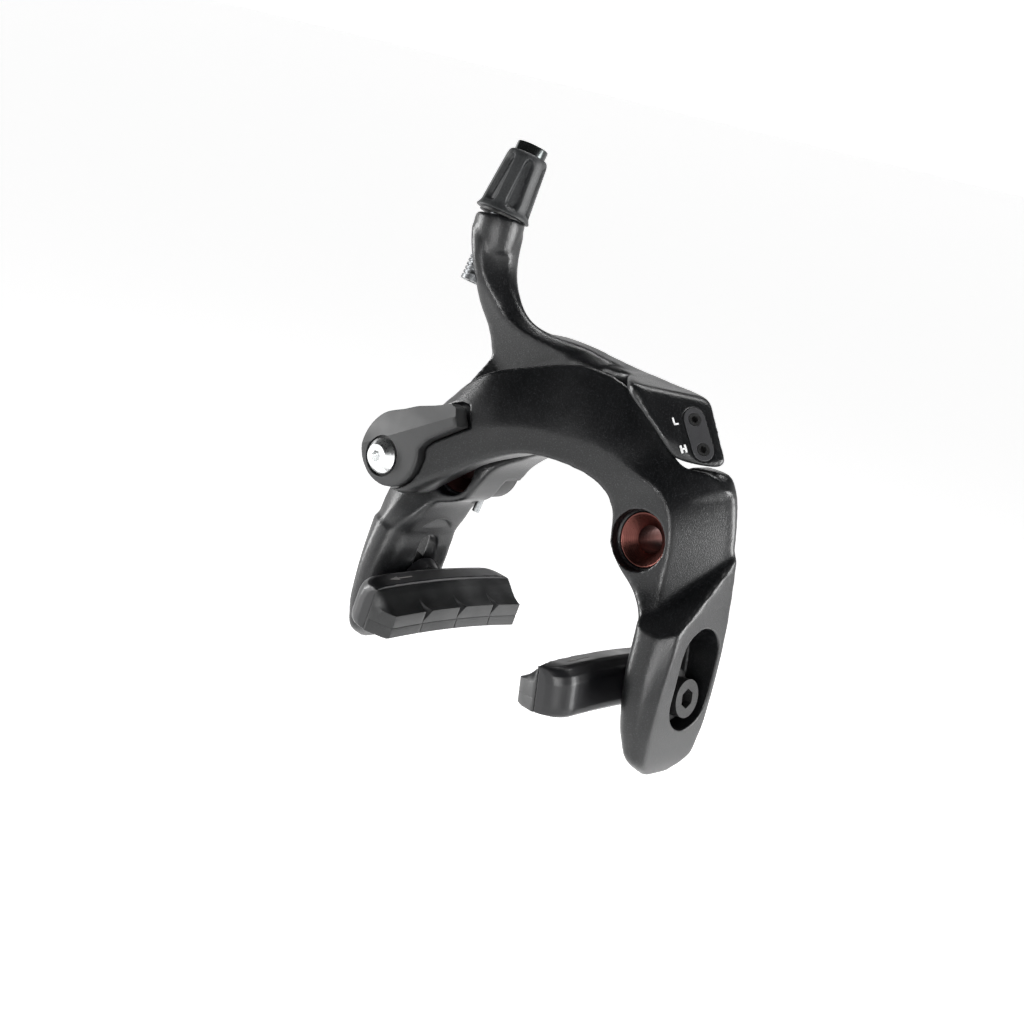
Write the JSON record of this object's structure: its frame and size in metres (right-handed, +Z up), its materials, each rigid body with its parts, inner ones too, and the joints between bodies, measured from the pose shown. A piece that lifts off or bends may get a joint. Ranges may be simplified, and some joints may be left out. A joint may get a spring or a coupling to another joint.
{
  "type": "rim brake caliper",
  "caption": "Dual-pivot rim brake caliper for two frame posts, with quick release, cable adjuster and slotted pad mounts, pads sprung open.",
  "frame": {"origin": "midway between the two post holes, on the face that bolts to the frame", "axes": "+X to the right seen from the front, +Y back toward the frame, +Z up"},
  "size_m": [0.0951, 0.05, 0.129],
  "materials": {
    "arm_finish": "satin black coat with a fine sparkle over forged aluminium",
    "anodised_brown": "red-brown anodised, turned",
    "dark_steel": "black oxide",
    "zinc_steel": "bright zinc plate",
    "polished_steel": "polished stainless",
    "black_chrome": "glossy black anodised",
    "nylon": "moulded nylon",
    "soft_knob": "soft-touch moulding",
    "black_matte": "matte black anodised",
    "pad_rubber": "matte brake rubber"
  },
  "bodies": {
    "mount": {"pivot_bushing_left": "anodised_brown", "pivot_bushing_right": "anodised_brown", "retaining_ring_left": "dark_steel", "retaining_ring_right": "dark_steel"},
    "front_arm": {"front_arm": "arm_finish", "return_spring_right": "zinc_steel", "spring_cup_right": "nylon", "sync_pin": "zinc_steel"},
    "rear_arm": {"rear_arm": "arm_finish", "return_spring_left": "zinc_steel", "spring_cup_left": "nylon", "tension_plate": "black_matte", "low_screw": "dark_steel", "high_screw": "dark_steel"},
    "roller": {"sync_roller": "dark_steel"},
    "quick_release": {"qr_hub": "black_matte", "qr_lever": "black_matte", "hub_clip": "dark_steel", "anchor_bolt": "polished_steel", "clamp_plate": "zinc_steel"},
    "barrel_carrier": {"barrel_washer": "nylon"},
    "barrel": {"barrel_stem": "zinc_steel", "barrel_knob": "soft_knob", "barrel_ferrule": "black_chrome"},
    "right_pad": {"pad_holder_right": "black_matte", "brake_pad_right": "pad_rubber", "pad_bolt_right": "dark_steel", "seat_washer_right": "dark_steel", "dome_washer_right": "black_matte", "pad_screw_right": "dark_steel"},
    "left_pad": {"pad_holder_left": "black_matte", "brake_pad_left": "pad_rubber", "pad_bolt_left": "dark_steel", "seat_washer_left": "dark_steel", "dome_washer_left": "black_matte", "pad_screw_left": "dark_steel"}
  },
  "joints": [
    {"name": "front_pivot", "type": "hinge", "parent": "mount", "child": "front_arm", "pos_m": [0.028, 0, 0], "axis": [0, 1, 0], "range_deg": [0, 11]},
    {"name": "rear_pivot", "type": "hinge", "parent": "mount", "child": "rear_arm", "pos_m": [-0.028, 0, 0], "axis": [0, 1, 0], "range_deg": [-11, 0]},
    {"name": "roller_spin", "type": "hinge", "parent": "front_arm", "child": "roller", "pos_m": [0, 0, 0.024], "axis": [0, 1, 0], "continuous": true},
    {"name": "quick_release_turn", "type": "hinge", "parent": "front_arm", "child": "quick_release", "pos_m": [-0.0384, 0, 0.0013], "axis": [0, -1, 0], "range_deg": [0, 130]},
    {"name": "barrel_travel", "type": "slide", "parent": "rear_arm", "child": "barrel_carrier", "axis": [0.0336, 0.2733, 0.9613], "range_m": [0, 0.004]},
    {"name": "barrel_turn", "type": "hinge", "parent": "barrel_carrier", "child": "barrel", "pos_m": [-0.0381, -0.0088, 0.0595], "axis": [0.0336, 0.2733, 0.9613], "range_deg": [0, 1440]},
    {"name": "right_pad_slide", "type": "slide", "parent": "front_arm", "child": "right_pad", "axis": [-0.1392, 0, 0.9903], "range_m": [0, 0.009]},
    {"name": "left_pad_slide", "type": "slide", "parent": "rear_arm", "child": "left_pad", "axis": [0.1392, 0, 0.9903], "range_m": [0, 0.009]}
  ],
  "couplings": [
    {"joint": "rear_pivot", "follows": "front_pivot", "ratio": -1},
    {"joint": "barrel_turn", "follows": "barrel_travel", "rad_per_m": 6283.2}
  ]
}
